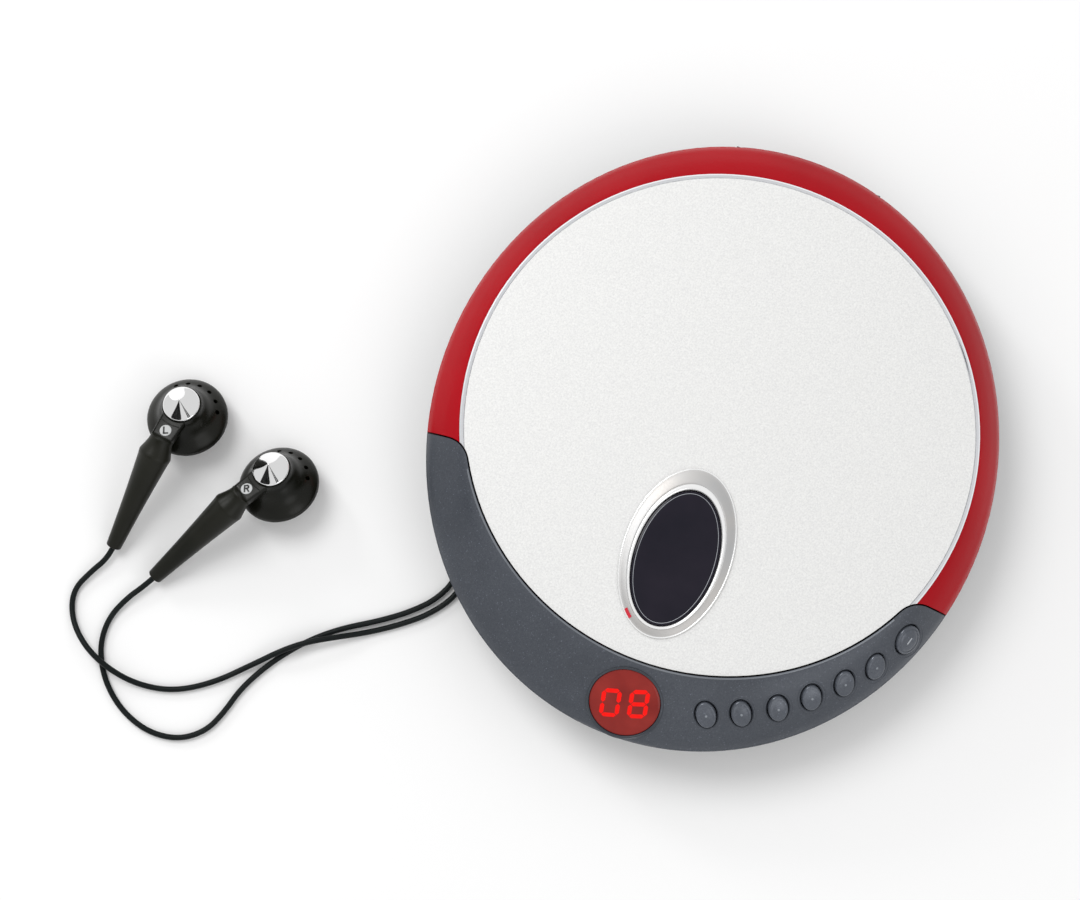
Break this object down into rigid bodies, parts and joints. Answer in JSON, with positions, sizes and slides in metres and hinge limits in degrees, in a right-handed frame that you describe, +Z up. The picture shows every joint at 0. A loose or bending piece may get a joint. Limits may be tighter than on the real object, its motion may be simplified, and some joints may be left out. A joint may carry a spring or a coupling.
{
  "type": "portable disc player",
  "caption": "Slim oval portable disc player with a hinged lid, oval window, round display, press keys on a crescent panel, and corded earphones.",
  "frame": {"origin": "on the surface the feet stand on, under the middle of the case's oval outline", "axes": "+X to the right, +Y towards the lid hinge at the back, +Z up"},
  "size_m": [0.2055, 0.1858, 0.0275],
  "materials": {
    "case_black": "fine moulded texture",
    "deck_black": "fine moulded texture",
    "slate_panel": "metallic slate paint, satin",
    "slate_key": "metallic slate paint, satin",
    "red_lid": "high gloss",
    "silver_plate": "fine silver grain",
    "chrome_trim": "polished",
    "satin_bezel": "satin",
    "smoked_glass": "polished, smoked",
    "display_red": "polished red filter",
    "module_dark": "matte",
    "steel": "ground",
    "hub_grey": "moulded",
    "sled_black": "moulded",
    "optic_glass": "coated",
    "chassis_steel": "zinc plated",
    "motor_can": "drawn can",
    "rubber_black": "matt",
    "board_green": "solder mask",
    "chip_black": "moulded",
    "cell_jacket": "printed jacket, plain",
    "spring_plate": "nickel plated",
    "jack_black": "moulded",
    "wheel_black": "knurled",
    "ribbon_white": "flat flex",
    "screw_black": "blackened",
    "plug_gold": "plated",
    "cord_black": "soft sheath",
    "tie_black": "soft strap",
    "bud_black": "semi gloss",
    "bud_rubber": "soft touch",
    "cap_chrome": "polished facets",
    "grille_black": "perforated"
  },
  "bodies": {
    "root": {"battery_cells": "cell_jacket", "battery_contacts": "spring_plate", "board_parts": "chip_black", "bottom_case": "case_black", "case_screws": "screw_black", "control_board": "board_green", "cord_splitter": "cord_black", "dampers": "rubber_black", "dc_jack": "jack_black", "disc_well": "deck_black", "display_lens": "display_red", "display_module": "module_dark", "earbud_cap_left": "cap_chrome", "earbud_cap_right": "cap_chrome", "earbud_front_left": "grille_black", "earbud_front_right": "grille_black", "earbud_shell_left": "bud_black", "earbud_shell_right": "bud_black", "earbud_stem_left": "bud_rubber", "earbud_stem_right": "bud_rubber", "front_panel": "slate_panel", "guide_rods": "steel", "hank_tie": "tie_black", "hinge_pins": "steel", "lead_hank": "cord_black", "lead_left": "cord_black", "lead_right": "cord_black", "left_cord": "cord_black", "main_board": "board_green", "mech_chassis": "chassis_steel", "phone_jack": "jack_black", "phone_plug": "plug_gold", "plug_grip": "cord_black", "ribbon_cable": "ribbon_white", "right_cord": "cord_black", "rubber_feet": "rubber_black", "sled_motor": "motor_can", "spindle_motor": "motor_can", "tact_switches": "chip_black", "volume_pot": "chip_black"},
    "lid": {"lid_shell": "red_lid", "lid_plate": "silver_plate", "lid_trim_ring": "chrome_trim", "window_bezel": "satin_bezel", "window_lens": "smoked_glass"},
    "turntable": {"turntable": "hub_grey", "clamp_balls": "steel"},
    "pickup": {"pickup_sled": "sled_black", "pickup_lens": "optic_glass"},
    "lead_screw": {"lead_screw": "steel"},
    "volume_wheel": {"volume_wheel": "wheel_black"},
    "battery_door": {"battery_door": "case_black"},
    "lid_latch": {"lid_latch": "sled_black"},
    "skip_back_button": {"skip_back_button": "slate_key"},
    "play_button": {"play_button": "slate_key"},
    "skip_forward_button": {"skip_forward_button": "slate_key"},
    "stop_button": {"stop_button": "slate_key"},
    "program_button": {"program_button": "slate_key"},
    "mode_button": {"mode_button": "slate_key"},
    "open_button": {"open_button": "slate_key"}
  },
  "joints": [
    {"name": "lid_hinge", "type": "hinge", "parent": "root", "child": "lid", "pos_m": [0, 0.0712, 0.0162], "axis": [-1, 0, 0], "range_deg": [0, 78]},
    {"name": "disc_spin", "type": "hinge", "parent": "root", "child": "turntable", "pos_m": [0, 0.0055, 0.0201], "axis": [0, 0, 1], "continuous": true},
    {"name": "pickup_travel", "type": "slide", "parent": "root", "child": "pickup", "axis": [0, -1, 0], "range_m": [0, 0.033]},
    {"name": "lead_screw_spin", "type": "hinge", "parent": "root", "child": "lead_screw", "pos_m": [-0.0175, -0.03, 0.0134], "axis": [0, -1, 0], "range_deg": [0, 3960]},
    {"name": "volume_turn", "type": "hinge", "parent": "root", "child": "volume_wheel", "pos_m": [0.04732, 0.00964, 0.007], "axis": [0, 0, 1], "range_deg": [-140, 140]},
    {"name": "battery_door_hinge", "type": "hinge", "parent": "root", "child": "battery_door", "pos_m": [0, 0.0475, 0.00162], "axis": [1, 0, 0], "range_deg": [0, 95]},
    {"name": "latch_slide", "type": "slide", "parent": "root", "child": "lid_latch", "axis": [0, -1, 0], "range_m": [0, 0.0012]},
    {"name": "skip_back_press", "type": "slide", "parent": "root", "child": "skip_back_button", "axis": [-0.1395, 0.4342, -0.8899], "range_m": [0, 0.0008], "stiffness_N_per_m": 400, "springref_m": -0.0004},
    {"name": "play_press", "type": "slide", "parent": "root", "child": "play_button", "axis": [-0.2023, 0.4268, -0.8814], "range_m": [0, 0.0008], "stiffness_N_per_m": 400, "springref_m": -0.0004},
    {"name": "skip_forward_press", "type": "slide", "parent": "root", "child": "skip_forward_button", "axis": [-0.2756, 0.4182, -0.8655], "range_m": [0, 0.0008], "stiffness_N_per_m": 400, "springref_m": -0.0004},
    {"name": "stop_press", "type": "slide", "parent": "root", "child": "stop_button", "axis": [-0.3445, 0.4, -0.8493], "range_m": [0, 0.0008], "stiffness_N_per_m": 400, "springref_m": -0.0004},
    {"name": "program_press", "type": "slide", "parent": "root", "child": "program_button", "axis": [-0.4243, 0.3773, -0.8232], "range_m": [0, 0.0008], "stiffness_N_per_m": 400, "springref_m": -0.0004},
    {"name": "mode_press", "type": "slide", "parent": "root", "child": "mode_button", "axis": [-0.5136, 0.3467, -0.7849], "range_m": [0, 0.0008], "stiffness_N_per_m": 400, "springref_m": -0.0004},
    {"name": "open_press", "type": "slide", "parent": "root", "child": "open_button", "axis": [-0.6021, 0.2881, -0.7447], "range_m": [0, 0.0012], "stiffness_N_per_m": 400, "springref_m": -0.0004}
  ],
  "couplings": [
    {"joint": "lead_screw_spin", "follows": "pickup_travel", "rad_per_m": 2094.4},
    {"joint": "latch_slide", "follows": "open_press", "ratio": 1}
  ]
}
